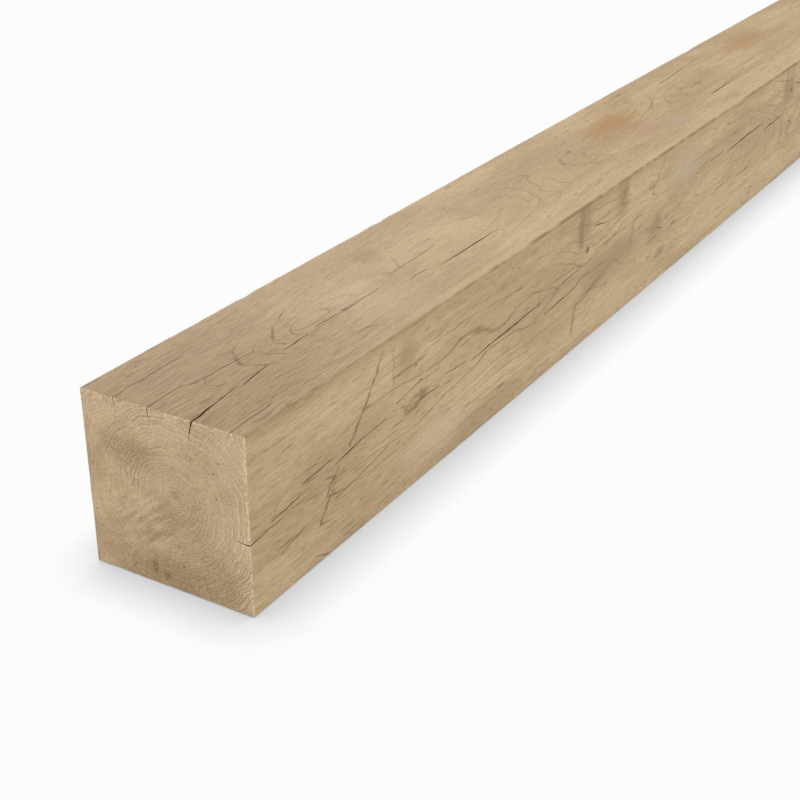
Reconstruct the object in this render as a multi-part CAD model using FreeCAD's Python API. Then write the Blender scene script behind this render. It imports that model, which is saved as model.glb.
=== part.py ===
import FreeCAD, Part
import os

# A sawn oak beam, lying on one of its long faces, in millimetres.
# X runs across the section, Y along the beam and Z up. The origin is the middle of the underside.

# Driving dimensions of the sawn section and the cut length
beam_width = 150.0
beam_height = 150.0
beam_length = 2500.0

# Arrises, worn round by handling
long_arris_radius = 1.0
end_arris_radius = 0.5

# Drying checks are V-shaped clefts that start on a face and taper out at both ends.
# An end check starts on the front end and tapers out along the beam.
# Places across a face are measured from the middle of that face,
# and places along the beam from the front end.
top_end_checks = {
    "main": {"across": 29.0, "run": 66.0, "drift": -3.6, "width": 1.6, "depth": 18.0, "lean": -4.5},
    "middle": {"across": -12.0, "run": 44.0, "drift": -0.6, "width": 0.75, "depth": 15.0, "lean": 1.8},
    "left": {"across": -43.5, "run": 30.0, "drift": -1.4, "width": 0.7, "depth": 11.0, "lean": 3.2},
}
side_end_checks = {
    "main": {"across": -12.3, "run": 38.0, "drift": 2.0, "width": 1.0, "depth": 14.0, "lean": 0.6},
}
top_face_checks = {
    "second": {"start": 64.0, "end": 100.0, "across": 21.9, "drift": -1.8, "width": 1.2, "depth": 9.0},
    "third": {"start": 129.0, "end": 165.0, "across": 15.0, "drift": -1.4, "width": 1.0, "depth": 7.0},
    "long": {"start": 350.0, "end": 455.0, "across": 31.4, "drift": 1.2, "width": 1.3, "depth": 10.0},
    "far": {"start": 1012.0, "end": 1096.0, "across": 32.4, "drift": -0.6, "width": 1.3, "depth": 10.0},
}
side_face_checks = {
    "second": {"start": 28.0, "end": 63.0, "across": -4.9, "drift": 2.2, "width": 1.0, "depth": 7.0},
    "third": {"start": 113.0, "end": 153.0, "across": 3.2, "drift": 3.0, "width": 1.2, "depth": 8.0},
    "fourth": {"start": 221.0, "end": 268.0, "across": 1.0, "drift": -0.4, "width": 1.0, "depth": 7.0},
    "long": {"start": 330.0, "end": 463.0, "across": 3.4, "drift": 4.6, "width": 1.4, "depth": 11.0},
    "low": {"start": 473.0, "end": 541.0, "across": -7.4, "drift": 4.8, "width": 1.0, "depth": 8.0},
    "far": {"start": 982.0, "end": 1106.0, "across": 22.3, "drift": 2.6, "width": 1.4, "depth": 11.0},
    "last": {"start": 1112.0, "end": 1190.0, "across": 13.4, "drift": 3.2, "width": 1.1, "depth": 8.0},
}

# How far a cutting wedge stands out of the timber, so that it cuts clean through the surface
cut_margin = 1.0

front_end = -beam_length / 2
middle_height = beam_height / 2


def sawn_beam():
    """The sawn stock with its long arrises and both ends' arrises eased."""
    corner = FreeCAD.Vector(-beam_width / 2, front_end, 0)
    stock = Part.makeBox(beam_width, beam_length, beam_height, corner)
    long_edges = [edge for edge in stock.Edges if abs(edge.Length - beam_length) < 1e-6
                  and abs(edge.tangentAt(edge.FirstParameter).y) > 0.99]
    stock = stock.makeFillet(long_arris_radius, long_edges)
    end_edges = [edge for edge in stock.Edges if edge.BoundBox.YLength < 1e-6]
    return stock.makeFillet(end_arris_radius, end_edges)


def solid_from(corners, faces):
    """A closed solid with flat faces, from its corner points and the corners of each face."""
    sides = [Part.Face(Part.makePolygon([corners[i] for i in face + face[:1]])) for face in faces]
    wedge = Part.Solid(Part.Shell(sides))
    if wedge.Volume < 0:
        wedge.reverse()
    return wedge


def on_top(across, along, depth):
    """A point of the top face, sunk by depth."""
    return FreeCAD.Vector(across, front_end + along, beam_height - depth)


def on_side(across, along, depth):
    """A point of the +X face, sunk by depth."""
    return FreeCAD.Vector(beam_width / 2 - depth, front_end + along, middle_height + across)


def face_check(place, start, end, across, drift, width, depth):
    """A cleft with its widest, deepest section halfway between its two pointed ends."""
    spread = (depth + cut_margin) / depth
    middle = (start + end) / 2
    reach = (end - start) / 2 * spread
    slide = drift / 2 * spread
    half = width / 2 * spread
    corners = [
        place(across - slide, middle - reach, -cut_margin),
        place(across + slide, middle + reach, -cut_margin),
        place(across - half, middle, -cut_margin),
        place(across + half, middle, -cut_margin),
        place(across, middle, depth),
    ]
    faces = [[0, 2, 3], [1, 3, 2], [0, 4, 2], [0, 3, 4], [1, 2, 4], [1, 4, 3]]
    return solid_from(corners, faces)


def end_check(place, across, run, drift, width, depth, lean):
    """A cleft with its full section on the front end, tapering to a point after its run."""
    spread = (depth + cut_margin) / depth
    reach = run * spread
    out = -cut_margin
    grown = (reach - out) / reach
    half = width / 2 * spread * grown
    head = across - lean * cut_margin / depth
    tip = head + drift * spread
    mouth = tip + (head - tip) * grown
    root = tip + (across + lean - tip) * grown
    root_depth = -cut_margin + (depth + cut_margin) * grown
    corners = [
        place(tip, reach, -cut_margin),
        place(mouth - half, out, -cut_margin),
        place(mouth + half, out, -cut_margin),
        place(root, out, root_depth),
    ]
    faces = [[0, 1, 2], [1, 3, 2], [0, 3, 1], [0, 2, 3]]
    return solid_from(corners, faces)


clefts = [end_check(on_top, **check) for check in top_end_checks.values()]
clefts += [end_check(on_side, **check) for check in side_end_checks.values()]
clefts += [face_check(on_top, **check) for check in top_face_checks.values()]
clefts += [face_check(on_side, **check) for check in side_face_checks.values()]

oak_beam = sawn_beam().cut(clefts).Solids[0]

os.makedirs("parts", exist_ok=True)
oak_beam.exportStep("parts/oak_beam.step")
print("oak beam: volume", round(oak_beam.Volume), "mm3, valid", oak_beam.isValid())
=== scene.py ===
import math
import bpy
import numpy as np
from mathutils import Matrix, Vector
from mathutils.geometry import delaunay_2d_cdt


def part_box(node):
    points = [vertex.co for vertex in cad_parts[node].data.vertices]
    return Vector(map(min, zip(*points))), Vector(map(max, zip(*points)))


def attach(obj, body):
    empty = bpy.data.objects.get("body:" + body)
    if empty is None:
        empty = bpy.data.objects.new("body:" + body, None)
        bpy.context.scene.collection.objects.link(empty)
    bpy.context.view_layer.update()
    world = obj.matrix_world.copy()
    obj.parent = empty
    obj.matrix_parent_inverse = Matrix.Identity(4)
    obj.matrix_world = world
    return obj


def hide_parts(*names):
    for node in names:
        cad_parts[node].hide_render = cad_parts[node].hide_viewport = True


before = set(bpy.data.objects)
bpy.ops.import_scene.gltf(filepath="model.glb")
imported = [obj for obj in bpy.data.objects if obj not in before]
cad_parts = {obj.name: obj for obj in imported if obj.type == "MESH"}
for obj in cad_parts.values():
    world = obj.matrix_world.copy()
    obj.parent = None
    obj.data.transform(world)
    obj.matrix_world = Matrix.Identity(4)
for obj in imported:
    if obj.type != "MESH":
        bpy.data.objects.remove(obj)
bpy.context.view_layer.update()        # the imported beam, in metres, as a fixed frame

mm = 0.001
beamLow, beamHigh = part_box("oak_beam")
width = beamHigh.x - beamLow.x
height = beamHigh.z - beamLow.z
length = beamHigh.y - beamLow.y
frontEnd = beamLow.y
print("frame loaded, section", round(width, 4), "by", round(height, 4), "length", round(length, 4))


# All lengths in millimetres. Places along the beam are measured from the front end,
# places across a face from its middle, along the face's own direction (see faceFrames).
skin = {
    "rowRuns": [(200.0, 3.0), (620.0, 4.2), (1300.0, 5.0), (2500.0, 6.6)],  # (up to here, row spacing)
    "columnStep": {"top": 3.8, "side": 3.8, "under": 9.5, "back": 9.5},
    "arrisRadius": 0.7,
    "arrisWander": 0.7,
    "endArris": 1.0,
    "unevenness": 0.35,         # long shallow waves left by the saw
    "fibreRelief": 0.16,        # narrow waves along the grain
    "capGrid": 2.6,
    "capRelief": 0.3,
    "closedHalfWidth": 0.28,    # half the gap between a lane's lips where no check is open
    "shallowest": 0.4,          # a lane less deep than this has no walls of its own
    # A check is (from, to, across at its start, across at its end, width, depth).
    # Checks of one lane follow each other along the beam; lanes are in order across the face.
    # A check that starts at 0 is open on the front end. One with no width only leads its lane aside.
    "checks": {
        "top": [
            [(0, 30, -43.5, -44.9, 0.7, 11), (27, 82, -45.2, -45.0, 0.5, 3),
             (1032, 1122, -40.0, -45.0, 0.8, 5)],
            [(0, 44, -12.0, -12.6, 0.75, 15), (46, 116, -7.5, -2.7, 0.55, 3), (308, 388, 4.0, 1.7, 0.7, 5)],
            [(0, 66, 29.0, 25.4, 1.6, 18), (64, 100, 22.8, 21.0, 1.2, 9), (129, 165, 15.7, 14.3, 1.0, 7),
             (180, 212, 12.6, 12.2, 0.7, 4), (222, 276, 13.4, 13.0, 0.5, 2)],
            [(1, 240, 40.0, 36.0, 0.0, 0), (308, 333, 24.3, 24.5, 0.6, 3), (350, 455, 30.8, 32.0, 1.3, 10),
             (1012, 1096, 32.7, 32.1, 1.3, 10)],
            [(0, 52, 61.0, 60.2, 0.5, 3), (590, 640, 57.0, 55.0, 0.6, 3)],
        ],
        "side": [
            [(582, 607, -47.0, -42.5, 0.9, 4), (1226, 1250, -47.0, -43.0, 0.9, 4)],
            [(68, 106, -5.7, -7.7, 0.8, 5), (203, 240, -13.3, -19.5, 0.55, 3),
             (280, 317, -6.7, -4.6, 0.7, 4), (590, 636, -19.0, -21.0, 0.7, 3),
             (916, 960, -24.0, -24.0, 0.8, 5), (982, 1106, -21.0, -23.6, 1.4, 11)],
            [(28, 63, 6.0, 3.8, 1.0, 7), (113, 153, -1.7, -4.7, 1.2, 8), (152, 184, -5.4, -7.2, 0.5, 3),
             (221, 268, -1.2, -0.8, 1.0, 7), (330, 463, -1.1, -5.7, 1.4, 11),
             (500, 548, -8.0, -12.0, 0.7, 5),
             (1112, 1190, -11.8, -15.0, 1.1, 8)],
            [(0, 38, 12.3, 10.3, 1.0, 14), (473, 541, 9.8, 5.0, 1.0, 8)],
            [(37, 67, 40.0, 33.3, 0.5, 3), (112, 187, 29.0, 20.0, 0.6, 3), (940, 972, 20.0, 19.5, 0.8, 4),
             (1016, 1060, 23.0, 23.5, 0.9, 5)],
        ],
        "under": [],
        "back": [],
    },
    # how far the root of each lane leans over, near the front end
    "rootLean": {"top": [3.2, 1.8, -4.5, 0.0, 0.0], "side": [0.0, 0.0, 0.0, -0.6, 0.0]},
    # arris knocks: (arris, from, to, how much the radius grows)
    "knocks": [
        ("back-top", 188, 214, 1.6), ("top-side", 120, 130, 1.2), ("top-side", 586, 598, 2.2),
        ("back-top", 402, 424, 1.4), ("top-side", 640, 800, 0.6), ("side-under", 300, 318, 1.6),
        ("side-under", 905, 930, 1.4), ("under-back", 700, 740, 1.8), ("back-top", 1190, 1230, 1.6),
    ],
}

# The long faces follow each other round the section: each one's direction across and its outward normal.
faceFrames = {
    "top": (Vector((1, 0)), Vector((0, 1))),
    "side": (Vector((0, -1)), Vector((1, 0))),
    "under": (Vector((-1, 0)), Vector((0, -1))),
    "back": (Vector((0, 1)), Vector((-1, 0))),
}
arrisNames = ["top-side", "side-under", "under-back", "back-top"]


# Smooth steps between random lattice values: each point blends its four lattice corners.
def valueNoise(first, second, seed):
    first, second = np.broadcast_arrays(first, second)
    shift = 50                  # keeps the cells of places below nought in range
    size = (int(first.max()) + shift + 3, int(second.max()) + shift + 3)
    lattice = np.random.RandomState(seed).rand(*size)
    cellA = np.floor(first).astype(int) + shift
    cellB = np.floor(second).astype(int) + shift
    partA = first - np.floor(first)
    partB = second - np.floor(second)
    easeA = partA * partA * (3 - 2 * partA)
    easeB = partB * partB * (3 - 2 * partB)
    near = lattice[cellA, cellB] * (1 - easeA) + lattice[cellA + 1, cellB] * easeA
    far = lattice[cellA, cellB + 1] * (1 - easeA) + lattice[cellA + 1, cellB + 1] * easeA
    return near * (1 - easeB) + far * easeB


def ripple(along, wavelength, seed):
    return valueNoise(along / wavelength, np.zeros(1), seed) * 2 - 1


# One lane of checks along the beam: where its middle lies, half its width and its depth, at each row.
# A closed check has a lens-shaped opening, the square root of a parabola; an end check is half of one.
def laneShape(lane, along, seed):
    knots = np.array([edge for check in lane for edge in check[:2]], float)
    places = np.array([edge for check in lane for edge in check[2:4]], float)
    order = np.argsort(knots, kind="stable")
    middle = np.interp(along, knots[order], places[order])
    middle = middle + ripple(along, 11.0, seed) * 0.45 + ripple(along, 37.0, seed + 1) * 0.5
    half = np.zeros_like(along)
    depth = np.zeros_like(along)
    for start, end, _, _, openWidth, openDepth in lane:
        t = (along - start) / (end - start)
        shape = (1 - t) if start == 0 else 4 * t * (1 - t)
        shape = np.sqrt(np.clip(shape, 0, 1)) * (t >= 0)
        ragged = 1 + 0.3 * ripple(along, 7.0, seed + 2) * (along > 4)
        half = np.maximum(half, openWidth / 2 * shape * ragged)
        depth = np.maximum(depth, openDepth * shape)
    return middle, np.maximum(half, skin["closedHalfWidth"]), depth


# Across-positions and depths of one face's columns, one row of the table for each row of the beam:
# evenly spaced columns between the face's borders and its lanes, three columns to a lane.
def faceColumns(name, along, reachLow, reachHigh, seed):
    lanes = [laneShape(lane, along, seed + 10 * i) for i, lane in enumerate(skin["checks"][name])]
    leans = skin["rootLean"].get(name, [])
    step = skin["columnStep"][name]
    positions = []
    depths = []
    walls = []                  # whether the strip that starts at a column is an open check's wall
    shut = np.zeros(len(along), bool)
    left = -reachLow
    for i, lane in enumerate(lanes + [None]):
        right = reachHigh if lane is None else lane[0] - lane[1]
        count = max(1, int(round(np.median(right - left) / step)))
        for k in range(1, count):
            positions.append(left + (right - left) * k / count)
            depths.append(np.zeros_like(along))
            walls.append(shut)
        if lane is None:
            break
        middle, half, depth = lane
        lean = leans[i] * np.clip(depth / max(depth.max(), 1e-6), 0, 1) * (along < 90)
        positions += [middle - half, middle + lean, middle + half]
        depths += [np.zeros_like(along), depth, np.zeros_like(along)]
        walls += [depth > skin["shallowest"], depth > skin["shallowest"], shut]
        left = middle + half
    positions = [-reachLow] + positions + [reachHigh]
    depths = [np.zeros_like(along)] + depths + [np.zeros_like(along)]
    return np.array(positions).T, np.array(depths).T, np.array([shut] + walls + [shut]).T


# The skin is a grid: round the section one way and along the beam the other. A point is the face's plane,
# moved in by the saw's unevenness and its check's depth. Arrises are quarter circles of wandering radius.
def makeSkin():
    along = [np.array([0.0, 0.3, 1.0])]
    start = 3.0
    for end, step in skin["rowRuns"]:
        along.append(np.arange(start, min(end, length / mm - 3.0), step))
        start = end
    along = np.concatenate(along + [length / mm - np.array([3.0, 1.0, 0.3, 0.0])])
    halfSection = width / mm / 2

    fromEnd = np.minimum(along, length / mm - along)
    easing = skin["endArris"]
    roll = easing - np.sqrt(np.clip(easing ** 2 - np.clip(easing - fromEnd, 0, None) ** 2, 0, None))

    radii = {}
    for i, name in enumerate(arrisNames):
        wander = np.abs(ripple(along, 46.0, 71 + i)) + 0.5 * np.abs(ripple(along, 9.0, 81 + i))
        radii[name] = skin["arrisRadius"] + skin["arrisWander"] * wander
    for name, start, end, growth in skin["knocks"]:
        t = np.clip((along - start) / (end - start), 0, 1)
        radii[name] = radii[name] + growth * np.sin(math.pi * t) ** 2

    sectionX = []
    sectionZ = []
    sheetAcross = []
    wall = []
    for i, name in enumerate(faceFrames):
        across, normal = faceFrames[name]
        before = radii[arrisNames[i - 1]]
        after = radii[arrisNames[i]]
        reaches = (halfSection - before, halfSection - after)
        place, depth, openWalls = faceColumns(name, along, *reaches, 100 * i)
        rows = along[:, None]
        relief = skin["unevenness"] * valueNoise(rows / 310, place / 55, 5 + i)
        relief = relief + skin["fibreRelief"] * valueNoise(rows / 60, place / 6.5, 15 + i)
        inner = np.clip((halfSection - np.abs(place)) / 12, 0, 1)
        torn = (valueNoise(place / 4.5, rows * 0, 33 + i) - 0.5) * roll[:, None] * inner
        out = halfSection - depth - relief * (0.25 + 0.75 * inner) - torn
        sectionX.append(across.x * place + normal.x * out)
        sectionZ.append(across.y * place + normal.y * out)
        sheetAcross.append(np.median(place, 0) + halfSection + 2 * halfSection * i)
        wall.append(openWalls)

        turns = np.radians([22.5, 45.0, 67.5])[None, :]
        radius = after[:, None]
        edgeIn = out[:, -1:]
        centreAcross = halfSection - radius
        arcAcross = centreAcross + radius * np.sin(turns)
        arcOut = edgeIn - radius + radius * np.cos(turns)
        sectionX.append(across.x * arcAcross + normal.x * arcOut)
        sectionZ.append(across.y * arcAcross + normal.y * arcOut)
        sheetAcross.append(2 * halfSection * (i + 1) + np.array([-1.0, 0.0, 1.0]))
        wall.append(np.zeros((len(along), 3), bool))
    sectionX = np.concatenate(sectionX, 1)
    sectionZ = np.concatenate(sectionZ, 1)
    sheetAcross = np.concatenate(sheetAcross)

    shrink = 1 - roll[:, None] / halfSection
    pointX = sectionX * shrink
    pointZ = sectionZ * shrink + halfSection
    pointY = np.broadcast_to(along[:, None], pointX.shape)
    return along, pointX, pointY, pointZ, sheetAcross, np.concatenate(wall, 1)


# Distance from each point to the nearest of the outline's edges.
def outlineDistance(points, outline):
    start = outline[None, :, :]
    edge = np.roll(outline, -1, 0)[None, :, :] - start
    gap = points[:, None, :] - start
    t = np.clip((gap * edge).sum(2) / (edge * edge).sum(2), 0, 1)
    return np.sqrt(((gap - edge * t[..., None]) ** 2).sum(2)).min(1)


# A point is inside when a line from it to the right crosses the outline an odd number of times.
def insideOutline(points, outline):
    a = outline[None, :, :]
    b = np.roll(outline, -1, 0)[None, :, :]
    x, z = points[:, None, 0], points[:, None, 1]
    rising = (a[..., 1] > z) != (b[..., 1] > z)
    drop = np.where(rising, b[..., 1] - a[..., 1], 1)
    crossing = a[..., 0] + (z - a[..., 1]) / drop * (b[..., 0] - a[..., 0])
    return ((rising & (x < crossing)).sum(1) % 2) == 1


# An end: its outline is the skin's last ring, clefts included, and a shaken grid of points fills it.
def makeCap(outline, seed):
    step = skin["capGrid"]
    reach = width / mm / 2
    line = np.arange(-reach + step, reach, step)
    grid = np.stack(np.meshgrid(line, line + reach, indexing="ij"), -1).reshape(-1, 2)
    grid = grid + (np.random.RandomState(seed).rand(*grid.shape) - 0.5) * step * 0.5
    edgeGap = outlineDistance(grid, outline)
    keep = insideOutline(grid, outline) & (edgeGap > step * 0.45)
    inner = grid[keep]
    points = np.concatenate([outline, inner])
    ring = list(range(len(outline)))
    flat, _, faces, origins, _, _ = delaunay_2d_cdt([Vector(p) for p in points], [], [ring], 1, 1e-5)
    where = np.array([origin[0] for origin in origins])
    sunk = valueNoise(inner[:, 0:1] / 5 + 20, inner[:, 1:2] / 5, seed)[:, 0]
    sunk = sunk * np.clip(edgeGap[keep] / 6, 0, 1)
    return inner, where[np.array(faces)], sunk * skin["capRelief"]


def makeBeam():
    along, x, y, z, sheetAcross, wall = makeSkin()
    rows, columns = x.shape
    points = np.stack([x, y, z], -1).reshape(-1, 3)
    index = np.arange(rows * columns).reshape(rows, columns)
    here, nextColumn = index[:-1, :], np.roll(index, -1, 1)[:-1, :]
    quads = np.stack([here, nextColumn, np.roll(index, -1, 1)[1:, :], index[1:, :]], -1)

    slot = np.zeros((rows - 1, columns), int)
    slot[wall[:-1] | wall[1:]] = 2
    nearEnd = (along[1:] < 1.5) | (along[:-1] > length / mm - 1.5)
    slot[nearEnd, :] = np.where(slot[nearEnd, :] == 2, 2, 1)

    front, frontFaces, frontSunk = makeCap(np.stack([x[0], z[0]], -1), 41)
    back, backFaces, backSunk = makeCap(np.stack([x[-1], z[-1]], -1), 42)

    def capIndex(faces, ring, firstInner):
        return np.where(faces < columns, ring[np.minimum(faces, columns - 1)], faces - columns + firstInner)

    frontFaces = capIndex(frontFaces, index[0], len(points))
    backFaces = capIndex(backFaces, index[-1], len(points) + len(front))[:, ::-1]
    frontPoints = np.stack([front[:, 0], frontSunk, front[:, 1]], -1)
    backPoints = np.stack([back[:, 0], length / mm - backSunk, back[:, 1]], -1)
    points = np.concatenate([points, frontPoints, backPoints])
    placed = points * mm + np.array([0.0, frontEnd, 0.0])

    mesh = bpy.data.meshes.new("oakBeam")
    faces = quads.reshape(-1, 4).tolist() + frontFaces.tolist() + backFaces.tolist()
    mesh.from_pydata(placed.tolist(), [], faces)
    slots = np.concatenate([slot.reshape(-1), np.ones(len(frontFaces) + len(backFaces), int)])
    mesh.polygons.foreach_set("material_index", slots)
    mesh.polygons.foreach_set("use_smooth", np.ones(len(slots), bool))

    # the skin is laid out as one sheet, and both ends as squares above it
    sheetWidth = 4 * width / mm
    sheetU = 0.004 + 0.992 * along / (length / mm)
    sheetV = 0.004 + 0.656 * np.append(sheetAcross, sheetAcross[0] + sheetWidth) / sheetWidth
    u = np.broadcast_to(sheetU[:, None], (rows, columns + 1))
    v = np.broadcast_to(sheetV[None, :], (rows, columns + 1))
    sheet = np.stack([u, v], -1)
    skinUv = np.stack([sheet[:-1, :-1], sheet[:-1, 1:], sheet[1:, 1:], sheet[1:, :-1]], 2).reshape(-1, 2)

    def squareUv(corners, left):
        flat = points[corners.reshape(-1)]
        across = flat[:, 0] / (width / mm) + 0.5
        up = flat[:, 2] / (height / mm)
        return np.stack([left + 0.32 * across, 0.672 + 0.32 * up], -1)

    uv = np.concatenate([skinUv, squareUv(frontFaces, 0.006), squareUv(backFaces, 0.34)])
    layer = mesh.uv_layers.new(name="OFBake")
    layer.uv.foreach_set("vector", uv.astype(np.float32).reshape(-1))
    mesh.validate()
    mesh.set_sharp_from_angle(angle=math.radians(38))
    piece = bpy.data.objects.new("oakBeam", mesh)
    bpy.context.scene.collection.objects.link(piece)
    return piece


oakBeam = makeBeam()
triangles = sum(len(face.vertices) - 2 for face in oakBeam.data.polygons)
print("beam skin made,", len(oakBeam.data.vertices), "points,", triangles, "triangles")


def linear(red, green, blue):
    tones = np.array([red, green, blue]) / 255
    lit = np.where(tones <= 0.04045, tones / 12.92, ((tones + 0.055) / 1.055) ** 2.4)
    return (*lit.tolist(), 1.0)


def feed(tree, socket, value):
    if isinstance(value, bpy.types.NodeSocket):
        tree.links.new(value, socket)
    else:
        socket.default_value = value


def maths(tree, operation, first, second=0.0, third=0.0):
    node = tree.nodes.new("ShaderNodeMath")
    node.operation = operation
    feed(tree, node.inputs[0], first)
    feed(tree, node.inputs[1], second)
    feed(tree, node.inputs[2], third)
    return node.outputs[0]


def plus(tree, first, second):
    return maths(tree, "ADD", first, second)


def minus(tree, first, second):
    return maths(tree, "SUBTRACT", first, second)


def times(tree, first, second):
    return maths(tree, "MULTIPLY", first, second)


def largest(tree, first, second):
    return maths(tree, "MAXIMUM", first, second)


def vectorMaths(tree, operation, first, second=(0.0, 0.0, 0.0)):
    node = tree.nodes.new("ShaderNodeVectorMath")
    node.operation = operation
    feed(tree, node.inputs[0], first)
    feed(tree, node.inputs[1], second)
    return node.outputs["Value"] if operation in ("LENGTH", "DOT_PRODUCT") else node.outputs[0]


def noise(tree, vector, scale=1.0, detail=2.0, roughness=0.5):
    node = tree.nodes.new("ShaderNodeTexNoise")
    feed(tree, node.inputs["Vector"], vector)
    feed(tree, node.inputs["Scale"], scale)
    feed(tree, node.inputs["Detail"], detail)
    feed(tree, node.inputs["Roughness"], roughness)
    return node.outputs["Fac"]


def ease(tree, value, low, high, toLow=0.0, toHigh=1.0):
    node = tree.nodes.new("ShaderNodeMapRange")
    node.interpolation_type = "SMOOTHSTEP"
    feed(tree, node.inputs["Value"], value)
    feed(tree, node.inputs["From Min"], low)
    feed(tree, node.inputs["From Max"], high)
    feed(tree, node.inputs["To Min"], toLow)
    feed(tree, node.inputs["To Max"], toHigh)
    return node.outputs["Result"]


def blend(tree, amount, first, second):
    node = tree.nodes.new("ShaderNodeMix")
    node.data_type = "RGBA"
    feed(tree, node.inputs["Factor"], amount)
    feed(tree, node.inputs[6], first)
    feed(tree, node.inputs[7], second)
    return node.outputs[2]


def split(tree, vector):
    node = tree.nodes.new("ShaderNodeSeparateXYZ")
    feed(tree, node.inputs[0], vector)
    return node.outputs


def join(tree, x, y, z):
    node = tree.nodes.new("ShaderNodeCombineXYZ")
    for socket, value in zip(node.inputs, (x, y, z)):
        feed(tree, socket, value)
    return node.outputs[0]


socketKinds = {"value": "NodeSocketFloat", "vector": "NodeSocketVector", "colour": "NodeSocketColor"}


def newGroup(name, inputs, outputs):
    group = bpy.data.node_groups.new(name, "ShaderNodeTree")
    for label, kind, start in inputs:
        socket = group.interface.new_socket(label, in_out="INPUT", socket_type=socketKinds[kind])
        if start is not None:
            socket.default_value = start
    for label, kind in outputs:
        group.interface.new_socket(label, in_out="OUTPUT", socket_type=socketKinds[kind])
    given = group.nodes.new("NodeGroupInput").outputs
    result = group.nodes.new("NodeGroupOutput").inputs
    return group, given, result


def useGroup(tree, group, **values):
    node = tree.nodes.new("ShaderNodeGroup")
    node.node_tree = group
    for label, value in values.items():
        feed(tree, node.inputs[label], value)
    return node.outputs


stem = {
    "pithX": 0.008,
    "pithZ": 0.077,
    "wander": 0.05,             # how far the pith strays along the beam
    "waves": 0.014,             # how far the slow and the quick waves shift a ring
    "ripples": 0.009,
    # swirls: places where the rings bow in or out: (centre, reach, height)
    "swirls": [
        ((-3, 178, 150), (32, 88, 40), -19),
        ((75, 300, 70), (40, 170, 60), -12),
        ((10, 620, 150), (45, 90, 40), 12),
        ((75, 600, 96), (40, 90, 50), 8),
        ((-20, 1000, 150), (40, 140, 40), -14),
        ((75, 1200, 105), (40, 90, 50), 12),
        ((-75, 420, 80), (40, 150, 50), -14),
        ((-75, 1500, 60), (40, 180, 50), -12),
        ((0, 1700, 150), (50, 160, 40), -14),
        ((75, 1850, 80), (40, 170, 50), -12),
        ((0, 700, 0), (50, 200, 40), -12),
        ((10, 1900, 0), (50, 200, 40), -12),
    ],
}


# Growth field: distance from a pith that wanders along the beam, plus slow waves of the stem.
def makeGrowthField():
    group, given, result = newGroup("growthField", [
        ("Position", "vector", None), ("PithX", "value", stem["pithX"]), ("PithZ", "value", stem["pithZ"]),
        ("Wander", "value", stem["wander"]), ("Waves", "value", stem["waves"]),
        ("Ripples", "value", stem["ripples"])],
        [("Radius", "value"), ("Spoke", "vector")])
    axes = split(group, given["Position"])
    fromFront = minus(group, axes[1], frontEnd)
    settle = ease(group, fromFront, 0.0, 0.35)
    wander = []
    for shift in (3.1, 8.7):
        drift = noise(group, join(group, shift, times(group, axes[1], 1.3), 0.0), 1.0, 1.0)
        drift = times(group, minus(group, drift, 0.5), given["Wander"])
        wander.append(times(group, drift, settle))
    pithX = plus(group, given["PithX"], wander[0])
    pithZ = plus(group, given["PithZ"], wander[1])
    arm = join(group, minus(group, axes[0], pithX), 0.0, minus(group, axes[2], pithZ))
    radius = vectorMaths(group, "LENGTH", arm)
    slow = noise(group, vectorMaths(group, "MULTIPLY", given["Position"], (10.0, 2.2, 10.0)), 1.0, 1.0)
    quick = noise(group, vectorMaths(group, "MULTIPLY", given["Position"], (27.0, 8.0, 27.0)), 1.0, 1.0)
    fine = noise(group, vectorMaths(group, "MULTIPLY", given["Position"], (120.0, 14.0, 120.0)), 1.0, 1.0)
    for layer, reach in ((slow, given["Waves"]), (quick, given["Ripples"]), (fine, 0.0012)):
        radius = plus(group, radius, times(group, minus(group, layer, 0.5), reach))
    group.links.new(radius, result["Radius"])
    group.links.new(vectorMaths(group, "NORMALIZE", arm), result["Spoke"])
    return group


# Growth rings: a dark line at each ring's start that fades into it, and a tone of each ring's own.
def makeGrowthRings():
    group, given, result = newGroup("growthRings", [
        ("Radius", "value", 0.0), ("Spacing", "value", 0.0032), ("LineWidth", "value", 0.2)],
        [("Line", "value"), ("Late", "value"), ("Tone", "value")])
    number = maths(group, "DIVIDE", given["Radius"], given["Spacing"])
    uneven = noise(group, join(group, times(group, number, 0.45), 4.0, 0.0), 1.0, 1.0)
    number = plus(group, number, times(group, uneven, 1.6))
    part = maths(group, "FRACT", number)
    rise = ease(group, part, 0.0, 0.05)
    fall = ease(group, part, 0.05, plus(group, given["LineWidth"], 0.06), 1.0, 0.0)
    group.links.new(times(group, rise, fall), result["Line"])
    group.links.new(maths(group, "POWER", part, 2.0), result["Late"])
    white = group.nodes.new("ShaderNodeTexWhiteNoise")
    white.noise_dimensions = "1D"
    group.links.new(maths(group, "FLOOR", number), white.inputs["W"])
    group.links.new(white.outputs["Value"], result["Tone"])
    return group


# Fibre streaks: noise drawn out along the grain, cut at a level.
def makeFibreStreaks():
    group, given, result = newGroup("fibreStreaks", [
        ("Position", "vector", None), ("Fineness", "value", 500.0), ("Stretch", "value", 20.0),
        ("Level", "value", 0.55), ("Softness", "value", 0.1), ("Seed", "value", 0.0)],
        [("Mask", "value")])
    alongScale = maths(group, "DIVIDE", given["Fineness"], given["Stretch"])
    scales = join(group, given["Fineness"], alongScale, given["Fineness"])
    drawn = vectorMaths(group, "MULTIPLY", given["Position"], scales)
    drawn = vectorMaths(group, "ADD", drawn, join(group, given["Seed"], given["Seed"], 0.0))
    level = noise(group, drawn, 1.0, 2.0, 0.6)
    top = plus(group, given["Level"], given["Softness"])
    group.links.new(ease(group, level, given["Level"], top), result["Mask"])
    return group


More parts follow.
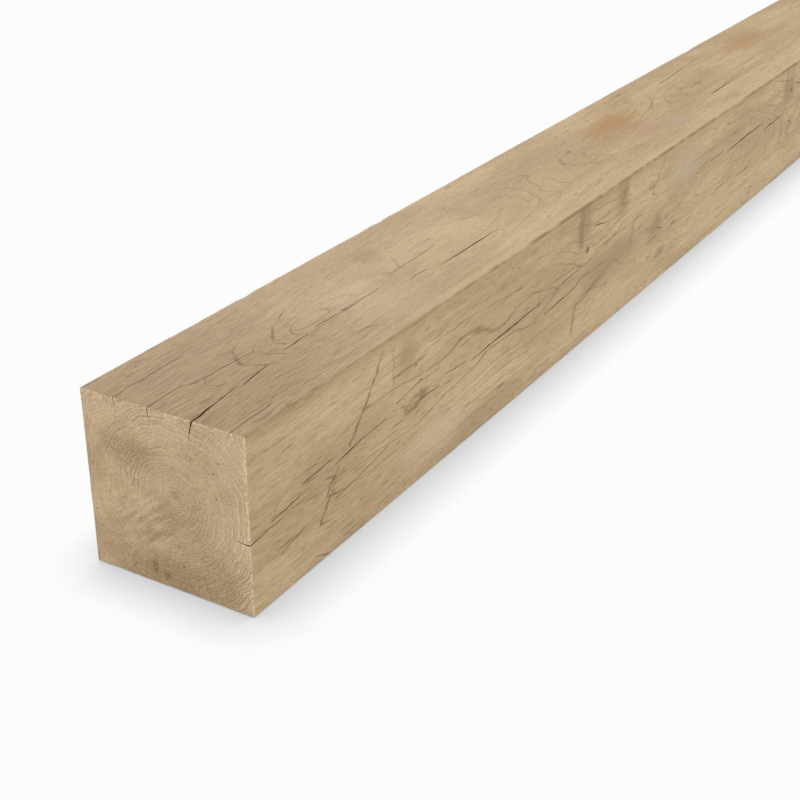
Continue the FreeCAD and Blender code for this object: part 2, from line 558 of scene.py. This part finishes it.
# Hair checks: the edges of long thin cells, kept only where a second noise is high.
def makeHairChecks():
    group, given, result = newGroup("hairChecks", [
        ("Position", "vector", None), ("Fineness", "value", 70.0), ("Stretch", "value", 14.0),
        ("Thickness", "value", 0.022), ("Presence", "value", 0.60)],
        [("Mask", "value")])
    alongScale = maths(group, "DIVIDE", given["Fineness"], given["Stretch"])
    scales = join(group, given["Fineness"], alongScale, given["Fineness"])
    drawn = vectorMaths(group, "MULTIPLY", given["Position"], scales)
    cells = group.nodes.new("ShaderNodeTexVoronoi")
    cells.feature = "DISTANCE_TO_EDGE"
    group.links.new(drawn, cells.inputs["Vector"])
    cells.inputs["Scale"].default_value = 1.0
    line = ease(group, cells.outputs["Distance"], 0.0, given["Thickness"], 1.0, 0.0)
    patches = noise(group, vectorMaths(group, "MULTIPLY", given["Position"], (38.0, 9.0, 38.0)), 1.0, 2.0)
    here = ease(group, patches, given["Presence"], plus(group, given["Presence"], 0.08))
    group.links.new(times(group, line, here), result["Mask"])
    return group


# Patch: one inside an ellipsoid with a soft, uneven rim, and nought outside.
def makePatch():
    group, given, result = newGroup("patch", [
        ("Position", "vector", None), ("Centre", "vector", (0.0, 0.0, 0.0)),
        ("Reach", "vector", (0.1, 0.1, 0.1)),
        ("Rim", "value", 0.8), ("Unevenness", "value", 0.8)],
        [("Mask", "value")])
    arm = vectorMaths(group, "SUBTRACT", given["Position"], given["Centre"])
    arm = vectorMaths(group, "DIVIDE", arm, given["Reach"])
    far = vectorMaths(group, "LENGTH", arm)
    blotch = noise(group, vectorMaths(group, "MULTIPLY", given["Position"], (60.0, 22.0, 60.0)), 1.0, 3.0)
    uneven = times(group, minus(group, blotch, 0.5), given["Unevenness"])
    far = plus(group, far, uneven)
    inner = minus(group, 1.0, given["Rim"])
    group.links.new(ease(group, far, inner, 1.0, 1.0, 0.0), result["Mask"])
    return group


# Ring trace: the thin line where one ring meets the surface. At a distance d across from Middle, its place
# along the beam is Start + Bow * d^2 + slope * d, with a slope of its own on each side of Middle.
def makeRingTrace():
    group, given, result = newGroup("ringTrace", [
        ("Along", "value", 0.0), ("Across", "value", 0.0), ("Start", "value", 0.0),
        ("Middle", "value", 0.0), ("SlopeUp", "value", 0.0), ("SlopeDown", "value", 0.0),
        ("Bow", "value", 0.0), ("Low", "value", -0.02), ("High", "value", 0.02),
        ("Thickness", "value", 0.001), ("Shake", "value", 0.012)],
        [("Mask", "value")])
    offset = minus(group, given["Across"], given["Middle"])
    up = times(group, largest(group, offset, 0.0), given["SlopeUp"])
    down = times(group, largest(group, times(group, offset, -1.0), 0.0), given["SlopeDown"])
    bow = times(group, times(group, offset, offset), given["Bow"])
    line = plus(group, plus(group, given["Start"], bow), plus(group, up, down))
    wobbleAt = join(group, times(group, given["Across"], 110.0), given["Start"], 0.0)
    wobble = noise(group, wobbleAt, 1.0, 4.0, 0.7)
    line = plus(group, line, times(group, minus(group, wobble, 0.5), given["Shake"]))
    gap = maths(group, "ABSOLUTE", minus(group, given["Along"], line))
    # a steep line keeps its thickness when its gap along the beam is shared out over its slope
    steep = largest(group, times(group, maths(group, "LESS_THAN", offset, 0.0), given["SlopeDown"]),
                    times(group, maths(group, "GREATER_THAN", offset, 0.0), given["SlopeUp"]))
    spread = maths(group, "SQRT", plus(group, 1.0, times(group, steep, steep)))
    gap = maths(group, "DIVIDE", gap, spread)
    mask = ease(group, gap, 0.0, given["Thickness"], 1.0, 0.0)
    fade = 0.006
    pastLow = ease(group, given["Across"], given["Low"], plus(group, given["Low"], fade))
    beforeHigh = ease(group, given["Across"], minus(group, given["High"], fade), given["High"], 1.0, 0.0)
    inside = times(group, pastLow, beforeHigh)
    worn = noise(group, join(group, times(group, given["Across"], 130.0),
                             times(group, given["Along"], 60.0), 2.0), 1.0, 2.0)
    mask = times(group, times(group, mask, inside), ease(group, worn, 0.3, 0.6, 0.35, 1.0))
    group.links.new(mask, result["Mask"])
    return group


# Swirl: a bell curve of the distance from a centre, one there and nought far off.
def makeSwirl():
    group, given, result = newGroup("swirl", [
        ("Position", "vector", None), ("Centre", "vector", (0.0, 0.0, 0.0)),
        ("Reach", "vector", (0.1, 0.1, 0.1))],
        [("Bell", "value")])
    arm = vectorMaths(group, "SUBTRACT", given["Position"], given["Centre"])
    arm = vectorMaths(group, "DIVIDE", arm, given["Reach"])
    square = vectorMaths(group, "DOT_PRODUCT", arm, arm)
    group.links.new(maths(group, "EXPONENT", times(group, square, -1.0)), result["Bell"])
    return group


growthField = makeGrowthField()
swirl = makeSwirl()
growthRings = makeGrowthRings()
fibreStreaks = makeFibreStreaks()
hairChecks = makeHairChecks()
patch = makePatch()
ringTrace = makeRingTrace()
print("shader groups made")


longFaces = {
    "pale": linear(189, 166, 129),
    "middle": linear(169, 145, 111),
    "deep": linear(150, 125, 91),
    "line": linear(109, 82, 49),
    "trace": linear(98, 74, 44),
    "hair": linear(93, 67, 38),
    "roughness": 0.62,
    "ringSpacing": 0.0042,
    "ringWidth": 0.12,
    "ringLine": 0.2,            # how dark a ring's line is
    "swirlLine": 0.62,          # the same inside a swirl
    "frontShade": 0.62,         # how much the handled front darkens, over how far, and its streaks
    "frontReach": 0.24,
    "frontStreaks": 0.52,
    "hairLine": 0.65,
    "arrisLine": 0.6,           # how dark the line along the arris is, and how strong the painted shade below it and the painted highlight above it are
    "paintedShadeUnderArris": 0.42,
    "paintedHighlightOverArris": 0.60,
    "sheen": 0.1,
    "bumpStrength": 0.7,
    "bumpDepth": 0.0006,
    # layers of fibre: (fineness per metre, stretch, level, softness, seed, tint, strength)
    "fibres": [
        (70.0, 22.0, 0.50, 0.25, 17.0, "pale", 0.34),
        (130.0, 30.0, 0.52, 0.20, 11.0, "deep", 0.34),
        (330.0, 14.0, 0.52, 0.16, 7.0, "pale", 0.24),
        (520.0, 12.0, 0.54, 0.14, 3.0, "line", 0.20),
        (900.0, 9.0, 0.52, 0.12, 5.0, "pale", 0.34),
        (860.0, 8.0, 0.54, 0.13, 9.0, "line", 0.29),
        (420.0, 16.0, 0.665, 0.03, 13.0, "hair", 0.50),
    ],
    # stains: (colour, centre, reach, strength), in millimetres from the front end's bottom middle
    "colourPatches": [
        (linear(139, 115, 82), (0, 50, 150), (130, 190, 16), 0.50),
        (linear(162, 123, 78), (-18, 832, 150), (30, 80, 12), 0.85),
        (linear(162, 126, 84), (-30, 1300, 150), (28, 110, 12), 0.75),
        (linear(171, 139, 115), (28, 840, 150), (22, 70, 12), 0.45),
        (linear(164, 149, 126), (40, 884, 150), (22, 50, 12), 0.60),
        (linear(171, 156, 130), (75, 838, 112), (12, 56, 28), 0.70),
        (linear(136, 111, 82), (75, 748, 68), (12, 26, 17), 0.55),
        (linear(139, 115, 86), (75, 772, 33), (12, 18, 7), 0.65),
        (linear(147, 122, 91), (75, 560, 132), (12, 22, 34), 0.65),
        (linear(147, 122, 91), (75, 650, 128), (12, 26, 34), 0.55),
        (linear(149, 124, 93), (75, 620, 66), (12, 120, 30), 0.55),
        (linear(147, 122, 93), (75, 1200, 118), (12, 34, 34), 0.80),
        (linear(145, 121, 89), (75, 216, 124), (12, 24, 24), 0.60),
        (linear(104, 76, 44), (75, 567, 101), (12, 7, 6), 0.85),
        (linear(111, 85, 57), (75, 1213, 116), (12, 6, 5), 0.90),
        (linear(149, 124, 95), (-38, 330, 150), (22, 26, 12), 0.60),
        (linear(150, 127, 98), (-22, 480, 150), (44, 16, 12), 0.45),
        (linear(188, 165, 136), (30, 250, 150), (60, 60, 12), 0.40),
        (linear(192, 170, 141), (75, 270, 30), (12, 80, 30), 0.50),
    ],
    # lines where a ring meets the surface:
    # (start, middle, slope up, slope down, bow, low, high, thickness, strength)
    "topTraces": [
        (52, 4, 0.35, 0.35, 0.035, -16, 17, 1.8, 0.70),
        (94, 4, 0.10, 0.10, 0.030, -24, 27, 3.6, 0.95),
        (118, 8, 0.50, 0.30, 0.020, -2, 24, 1.8, 0.85),
        (139, 3, 0.10, 0.30, 0.045, -32, 14, 3.2, 0.95),
        (160, 7, 0.60, 0.30, 0.020, -4, 16, 1.6, 0.85),
        (326, 2, 0.30, 0.80, 0.0, -20, 10, 1.5, 0.60),
        (610, 20, 0.50, 0.50, 0.0, 6, 32, 1.8, 0.60),
        (955, -20, 1.20, 0.40, 0.06, -36, 6, 1.8, 0.70),
    ],
    "sideTraces": [
        (88, -42, 0.80, 4.5, 0.0, -48, -12, 2.0, 0.90),
        (97, -22, 0.95, 5.0, 0.0, -30, 0, 1.9, 0.85),
        (131, 8, 1.05, 0.9, -0.004, 3, 72, 2.2, 0.85),
        (196, 48, 0.06, 0.02, 0.0, 27, 68, 1.4, 0.70),
        (476, 60, 0.20, 0.05, 0.0, 54, 76, 1.2, 0.50),
        (500, 60, 0.30, 0.05, 0.0, 52, 76, 1.2, 0.50),
        (548, 46, 0.10, 0.30, 0.0, 30, 76, 11.0, 0.50),
        (652, 54, 0.50, 0.30, 0.0, 42, 76, 12.0, 0.42),
        (733, 36, 0.95, 2.6, 0.0, 28, 76, 1.7, 0.75),
        (544, -28, 4.2, -0.25, 0.0, -58, -5, 6.0, 0.45),
        (1188, 44, 0.05, 0.30, 0.0, 40, 76, 3.6, 0.60),
    ],
}


# The stem's own field, the same for every face, so that a ring runs on round an arris.
def ringField(tree, position):
    field = useGroup(tree, growthField, Position=position)
    radius = field["Radius"]
    shade = None
    for centre, reach, rise in stem["swirls"]:
        middle = (centre[0] * mm, frontEnd + centre[1] * mm, centre[2] * mm)
        reach = tuple(r * mm for r in reach)
        bell = useGroup(tree, swirl, Position=position, Centre=middle, Reach=reach)["Bell"]
        radius = plus(tree, radius, times(tree, bell, rise * mm))
        shade = bell if shade is None else largest(tree, shade, bell)
    return radius, field["Spoke"], shade


def traceLines(tree, along, across, here, traces):
    total = None
    for start, middle, slopeUp, slopeDown, bow, low, high, thickness, strength in traces:
        mask = useGroup(tree, ringTrace, Along=along, Across=across, Start=start * mm, Middle=middle * mm,
                        SlopeUp=slopeUp, SlopeDown=slopeDown, Bow=bow / mm, Low=low * mm, High=high * mm,
                        Thickness=thickness * mm)["Mask"]
        mask = times(tree, mask, strength)
        total = mask if total is None else largest(tree, total, mask)
    return times(tree, total, here)


def longFaceMaterial():
    material = bpy.data.materials.new("sawnOakLongFace")
    material.use_nodes = True
    tree = material.node_tree
    shader = tree.nodes["Principled BSDF"]
    position = tree.nodes.new("ShaderNodeTexCoord").outputs["Object"]
    normal = split(tree, tree.nodes.new("ShaderNodeNewGeometry").outputs["Normal"])
    axes = split(tree, position)
    along = minus(tree, axes[1], frontEnd)

    radius, _, swirled = ringField(tree, position)
    rings = useGroup(tree, growthRings, Radius=radius, Spacing=longFaces["ringSpacing"],
                     LineWidth=longFaces["ringWidth"])
    broad = noise(tree, vectorMaths(tree, "MULTIPLY", position, (16.0, 4.0, 16.0)), 1.0, 4.0, 0.6)
    colour = blend(tree, ease(tree, broad, 0.36, 0.62), longFaces["middle"], longFaces["pale"])
    colour = blend(tree, times(tree, rings["Tone"], 0.2), colour, longFaces["deep"])
    lineStrength = ease(tree, swirled, 0.15, 0.6, longFaces["ringLine"], longFaces["swirlLine"])
    colour = blend(tree, times(tree, rings["Line"], lineStrength), colour, longFaces["line"])

    relief = None
    for fineness, stretch, level, softness, seed, tint, strength in longFaces["fibres"]:
        mask = useGroup(tree, fibreStreaks, Position=position, Fineness=fineness, Stretch=stretch,
                        Level=level, Softness=softness, Seed=seed)["Mask"]
        colour = blend(tree, times(tree, mask, strength), colour, longFaces[tint])
        step = times(tree, mask, strength if tint == "pale" else -strength)
        relief = step if relief is None else plus(tree, relief, step)

    for tint, centre, reach, strength in longFaces["colourPatches"]:
        middle = (centre[0] * mm, frontEnd + centre[1] * mm, centre[2] * mm)
        reach = tuple(r * mm for r in reach)
        mask = useGroup(tree, patch, Position=position, Centre=middle, Reach=reach)["Mask"]
        colour = blend(tree, times(tree, mask, strength), colour, tint)

    upSide = minus(tree, axes[2], height / 2)
    onTop = traceLines(tree, along, axes[0], ease(tree, normal[2], 0.6, 0.8), longFaces["topTraces"])
    onSide = traceLines(tree, along, upSide, ease(tree, normal[0], 0.6, 0.8), longFaces["sideTraces"])
    traced = plus(tree, onTop, onSide)
    colour = blend(tree, traced, colour, longFaces["trace"])

    hair = useGroup(tree, hairChecks, Position=position)["Mask"]
    colour = blend(tree, times(tree, hair, longFaces["hairLine"]), colour, longFaces["hair"])
    # the arris between the top and the +X face: painted shade below it, a painted highlight above it, with
    # a broken dark line between
    inFromArris = largest(tree, minus(tree, width / 2, axes[0]), minus(tree, height, axes[2]))
    further = ease(tree, along, 0.10, 0.50, 0.3, 1.0)
    below = ease(tree, inFromArris, 0.0, 0.018, longFaces["paintedShadeUnderArris"], 0.0)
    below = times(tree, times(tree, below, ease(tree, normal[0], 0.3, 0.8)), further)
    colour = blend(tree, below, colour, longFaces["deep"])
    above = ease(tree, inFromArris, 0.002, 0.016, longFaces["paintedHighlightOverArris"], 0.0)
    above = times(tree, times(tree, above, ease(tree, normal[2], 0.6, 0.9)), further)
    colour = blend(tree, above, colour, longFaces["pale"])
    broken = noise(tree, join(tree, 0.0, times(tree, axes[1], 9.0), 5.0), 1.0, 4.0, 0.7)
    arris = times(tree, ease(tree, inFromArris, 0.0012, 0.0034, 1.0, 0.0), ease(tree, broken, 0.40, 0.56))
    arris = times(tree, arris, further)
    colour = blend(tree, times(tree, arris, longFaces["arrisLine"]), colour, longFaces["line"])

    # the handled front: darker all over, with short dark streaks, and most of all on the top
    topMost = ease(tree, normal[2], 0.3, 0.8, 0.30, 1.0)
    handled = ease(tree, along, 0.0, longFaces["frontReach"], longFaces["frontShade"], 0.0)
    handled = times(tree, handled, ease(tree, broad, 0.35, 0.65, 1.3, 0.5))
    colour = blend(tree, times(tree, handled, topMost), colour, longFaces["deep"])
    handling = useGroup(tree, fibreStreaks, Position=position, Fineness=560.0, Stretch=13.0, Level=0.5,
                        Softness=0.14, Seed=21.0)["Mask"]
    handling = times(tree, handling, ease(tree, along, 0.02, 0.34, longFaces["frontStreaks"], 0.0))
    colour = blend(tree, times(tree, handling, topMost), colour, longFaces["line"])
    speckle = noise(tree, position, 1300.0, 1.0, 0.5)
    colour = blend(tree, ease(tree, speckle, 0.35, 0.65, 0.12, -0.12), colour, longFaces["line"])
    tree.links.new(colour, shader.inputs["Base Color"])
    shader.inputs["Roughness"].default_value = longFaces["roughness"]
    shader.inputs["Specular IOR Level"].default_value = longFaces["sheen"]

    relief = minus(tree, relief, times(tree, hair, 1.5))
    bump = tree.nodes.new("ShaderNodeBump")
    bump.inputs["Strength"].default_value = longFaces["bumpStrength"]
    bump.inputs["Distance"].default_value = longFaces["bumpDepth"]
    tree.links.new(relief, bump.inputs["Height"])
    tree.links.new(bump.outputs["Normal"], shader.inputs["Normal"])
    return material


endFaces = {
    "pale": linear(189, 164, 130),
    "middle": linear(171, 146, 112),
    "deep": linear(147, 120, 87),
    "line": linear(119, 91, 58),
    "mark": linear(112, 78, 40),
    "fuzz": linear(208, 187, 154),
    "roughness": 0.8,
    "sheen": 0.15,
    "ringSpacing": 0.0030,
    "ringWidth": 0.42,
    "bumpStrength": 0.7,
    "bumpDepth": 0.0007,
    # stains on the front end, and a band of painted shade along its bottom: (colour, centre, reach,
    # strength), in millimetres as above
    "colourPatches": [
        ("deep", (-28, 0, 108), (26, 20, 20), 0.65),
        ("deep", (-50, 0, 110), (20, 20, 22), 0.50),
        ("line", (9, 0, 84), (9, 20, 9), 0.45),
        ("deep", (-5, 0, 62), (46, 20, 14), 0.60),
        # a band of painted shade along the bottom of the end, over the end's own darker tone there
        ("deep", (0, 0, 12), (90, 20, 22), 0.80),
        ("pale", (-60, 0, 128), (18, 20, 20), 0.30),
        ("pale", (58, 0, 124), (22, 20, 30), 0.80),
        ("deep", (52, 0, 26), (30, 20, 26), 0.55),
        ("pale", (-30, 0, 66), (34, 20, 16), 0.45),
        ("mark", (-16, 0, 15), (4, 20, 9), 0.90),
        ("mark", (-5, 0, 10), (5, 20, 5), 0.70),
    ],
}


def endMaterial():
    material = bpy.data.materials.new("sawnOakEnd")
    material.use_nodes = True
    tree = material.node_tree
    shader = tree.nodes["Principled BSDF"]
    position = tree.nodes.new("ShaderNodeTexCoord").outputs["Object"]
    axes = split(tree, position)
    radius, spoke, _ = ringField(tree, position)
    for fineness, reach in ((55.0, 0.009), (150.0, 0.0034)):
        waver = minus(tree, noise(tree, position, fineness, 2.0), 0.5)
        radius = plus(tree, radius, times(tree, waver, reach))
    rings = useGroup(tree, growthRings, Radius=radius, Spacing=endFaces["ringSpacing"],
                     LineWidth=endFaces["ringWidth"])
    broad = noise(tree, position, 30.0, 4.0, 0.6)
    colour = blend(tree, ease(tree, broad, 0.38, 0.64), endFaces["middle"], endFaces["pale"])
    # stains, and the band of painted shade along the bottom of the end
    for tint, centre, reach, strength in endFaces["colourPatches"]:
        middle = (centre[0] * mm, frontEnd + centre[1] * mm, centre[2] * mm)
        reach = tuple(r * mm for r in reach)
        mask = useGroup(tree, patch, Position=position, Centre=middle, Reach=reach)["Mask"]
        colour = blend(tree, times(tree, mask, strength), colour, endFaces[tint])
    colour = blend(tree, times(tree, rings["Tone"], 0.2), colour, endFaces["deep"])
    shown = ease(tree, noise(tree, position, 34.0, 2.0), 0.45, 0.63, 0.04, 0.44)
    shown = times(tree, shown, ease(tree, radius, 0.004, 0.032, 0.3, 1.0))
    colour = blend(tree, times(tree, rings["Line"], shown), colour, endFaces["line"])

    # slanting saw strokes below the pith
    along = plus(tree, times(tree, axes[0], 0.81), times(tree, axes[2], 0.59))
    aside = minus(tree, times(tree, axes[2], 0.81), times(tree, axes[0], 0.59))
    strokes = noise(tree, join(tree, times(tree, along, 26.0), 0.0, times(tree, aside, 210.0)), 1.0, 2.0)
    sawn = useGroup(tree, patch, Position=position, Centre=(-0.012, frontEnd, 0.056),
                    Reach=(0.062, 0.02, 0.036))["Mask"]
    darkStrokes = times(tree, sawn, ease(tree, strokes, 0.5, 0.62, 0.0, 0.42))
    colour = blend(tree, darkStrokes, colour, endFaces["line"])
    paleStrokes = times(tree, sawn, ease(tree, strokes, 0.48, 0.36, 0.0, 0.35))
    colour = blend(tree, paleStrokes, colour, endFaces["fuzz"])

    # rays: streaks out from the pith
    spread = vectorMaths(tree, "ADD", vectorMaths(tree, "MULTIPLY", spoke, (70.0, 0.0, 70.0)),
                         join(tree, 0.0, times(tree, radius, 90.0), 0.0))
    rays = noise(tree, spread, 1.0, 3.0, 0.6)
    patchy = ease(tree, noise(tree, position, 38.0, 2.0), 0.45, 0.65, 0.1, 1.0)
    paleRays = times(tree, ease(tree, rays, 0.54, 0.66, 0.0, 0.4), patchy)
    colour = blend(tree, paleRays, colour, endFaces["fuzz"])
    colour = blend(tree, ease(tree, rays, 0.46, 0.3, 0.0, 0.25), colour, endFaces["line"])

    # torn fibre: pale near the top and right arrises
    rim = maths(tree, "MINIMUM", minus(tree, height, axes[2]),
                times(tree, minus(tree, width / 2, axes[0]), 1.6))
    torn = noise(tree, vectorMaths(tree, "MULTIPLY", position, (260.0, 260.0, 520.0)), 1.0, 3.0, 0.6)
    fuzz = times(tree, ease(tree, torn, 0.48, 0.62), ease(tree, rim, 0.0, 0.012, 0.75, 0.05))
    colour = blend(tree, fuzz, colour, endFaces["fuzz"])
    banded = times(tree, rings["Late"], ease(tree, rim, 0.012, 0.034, 0.6, 0.1))
    colour = blend(tree, banded, colour, endFaces["fuzz"])
    speckle = noise(tree, position, 850.0, 2.0, 0.6)
    colour = blend(tree, ease(tree, speckle, 0.5, 0.68, 0.0, 0.28), colour, endFaces["fuzz"])
    colour = blend(tree, ease(tree, speckle, 0.5, 0.32, 0.0, 0.28), colour, endFaces["line"])
    pins = tree.nodes.new("ShaderNodeTexVoronoi")
    pins.inputs["Scale"].default_value = 95.0
    tree.links.new(position, pins.inputs["Vector"])
    rare = ease(tree, noise(tree, position, 26.0, 1.0), 0.52, 0.6)
    pin = times(tree, ease(tree, pins.outputs["Distance"], 0.05, 0.1, 1.0, 0.0), rare)
    colour = blend(tree, times(tree, pin, 0.8), colour, longFaces["hair"])
    tree.links.new(colour, shader.inputs["Base Color"])
    shader.inputs["Roughness"].default_value = endFaces["roughness"]
    shader.inputs["Specular IOR Level"].default_value = endFaces["sheen"]
    relief = plus(tree, times(tree, torn, 0.8), speckle)
    relief = minus(tree, relief, times(tree, rings["Line"], 0.5))
    bump = tree.nodes.new("ShaderNodeBump")
    bump.inputs["Strength"].default_value = endFaces["bumpStrength"]
    bump.inputs["Distance"].default_value = endFaces["bumpDepth"]
    tree.links.new(relief, bump.inputs["Height"])
    tree.links.new(bump.outputs["Normal"], shader.inputs["Normal"])
    return material


# Inside a check: its darker wood, with painted shade. The timber hides itself from diffuse light, so the
# sky's even light reaches into a check unshaded, and the check's shade is painted into these colours.
checkInsidePaintedShade = {"dark": linear(74, 50, 28), "light": linear(100, 72, 44), "roughness": 0.9, "sheen": 0.1}


def cleftMaterial():
    material = bpy.data.materials.new("checkInsidePaintedShade")
    material.use_nodes = True
    tree = material.node_tree
    shader = tree.nodes["Principled BSDF"]
    position = tree.nodes.new("ShaderNodeTexCoord").outputs["Object"]
    grain = noise(tree, vectorMaths(tree, "MULTIPLY", position, (300.0, 30.0, 300.0)), 1.0, 2.0)
    colour = blend(tree, ease(tree, grain, 0.4, 0.6), checkInsidePaintedShade["dark"], checkInsidePaintedShade["light"])
    tree.links.new(colour, shader.inputs["Base Color"])
    shader.inputs["Roughness"].default_value = checkInsidePaintedShade["roughness"]
    shader.inputs["Specular IOR Level"].default_value = checkInsidePaintedShade["sheen"]
    return material


for material in (longFaceMaterial(), endMaterial(), cleftMaterial()):
    oakBeam.data.materials.append(material)
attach(oakBeam, "root")
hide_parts("oak_beam")
oakBeam.visible_diffuse = False     # keeps the timber's own colour off the pale floor
print("oak materials made")


studio = {
    "floorColour": (0.975, 0.985, 0.998, 1.0),
    "sky": 0.37,                # even light from all round
    "sunColour": (1.0, 0.985, 0.955),
    "sunStrength": 1.98,        # from overhead, so that shadows stay close to the beam
    "sunSpread": 36.0,
    "sunFrom": (-0.03, 0.03, 1.0),
    "fillColour": (0.955, 0.94, 1.0),
    "fillStrength": 4.2,        # low light from two corners, on the timber alone
    "fillSpread": 40.0,
    "fillFrom": [(1.0, -0.78, -0.02), (-1.0, 0.78, -0.02)],
}


def makeFloor():
    reach = 14.0
    mesh = bpy.data.meshes.new("floor")
    corners = [(-reach, -reach, 0), (reach, -reach, 0), (reach, reach, 0), (-reach, reach, 0)]
    mesh.from_pydata(corners, [], [(0, 1, 2, 3)])
    floor = bpy.data.objects.new("floor", mesh)
    bpy.context.scene.collection.objects.link(floor)
    material = bpy.data.materials.new("paleFloor")
    material.use_nodes = True
    shader = material.node_tree.nodes["Principled BSDF"]
    shader.inputs["Base Color"].default_value = studio["floorColour"]
    shader.inputs["Roughness"].default_value = 1.0
    shader.inputs["Specular IOR Level"].default_value = 0.0
    mesh.materials.append(material)


def makeSun(name, colour, strength, spread, comesFrom):
    lamp = bpy.data.lights.new(name, "SUN")
    lamp.energy = strength
    lamp.color = colour
    lamp.angle = math.radians(spread)
    lamp.cycles.use_multiple_importance_sampling = False
    sun = bpy.data.objects.new(name, lamp)
    bpy.context.scene.collection.objects.link(sun)
    sun.rotation_euler = Vector(comesFrom).to_track_quat("Z", "Y").to_euler()
    return sun


def makeLight():
    world = bpy.data.worlds.new("studio")
    bpy.context.scene.world = world
    world.use_nodes = True
    tree = world.node_tree
    background = tree.nodes["Background"]
    rays = tree.nodes.new("ShaderNodeLightPath").outputs
    seen = largest(tree, rays["Is Camera Ray"], rays["Is Glossy Ray"])
    seen = largest(tree, seen, rays["Is Transmission Ray"])
    background.inputs["Color"].default_value = (1.0, 1.0, 1.0, 1.0)
    shown = maths(tree, "MULTIPLY_ADD", seen, 1.0 - studio["sky"], studio["sky"])
    tree.links.new(shown, background.inputs["Strength"])
    makeSun("overheadSun", studio["sunColour"], studio["sunStrength"],
            studio["sunSpread"], studio["sunFrom"])
    timber = bpy.data.collections.new("timber")
    timber.objects.link(oakBeam)
    for number, comesFrom in enumerate(studio["fillFrom"]):
        fill = makeSun(f"cornerFill{number}", studio["fillColour"], studio["fillStrength"],
                       studio["fillSpread"], comesFrom)
        fill.light_linking.receiver_collection = timber


# The camera stands off the front end's bottom middle by these shares of the beam's width.
view = {"standOff": (4.126, -4.623, 4.148), "turn": -31.17, "tilt": -26.87, "lens": 65.4}


def makeCamera():
    data = bpy.data.cameras.new("camera")
    data.lens = view["lens"]
    data.sensor_width = 36.0
    camera = bpy.data.objects.new("camera", data)
    bpy.context.scene.collection.objects.link(camera)
    camera.location = Vector(view["standOff"]) * width + Vector((0.0, frontEnd, 0.0))
    turn, tilt = math.radians(view["turn"]), math.radians(view["tilt"])
    camera.rotation_euler = (math.pi / 2 + tilt, 0.0, -turn)
    data.clip_end = 60.0
    bpy.context.scene.camera = camera


makeFloor()
makeLight()
makeCamera()
bpy.context.scene.view_settings.view_transform = "Standard"
print("floor, light and camera made")
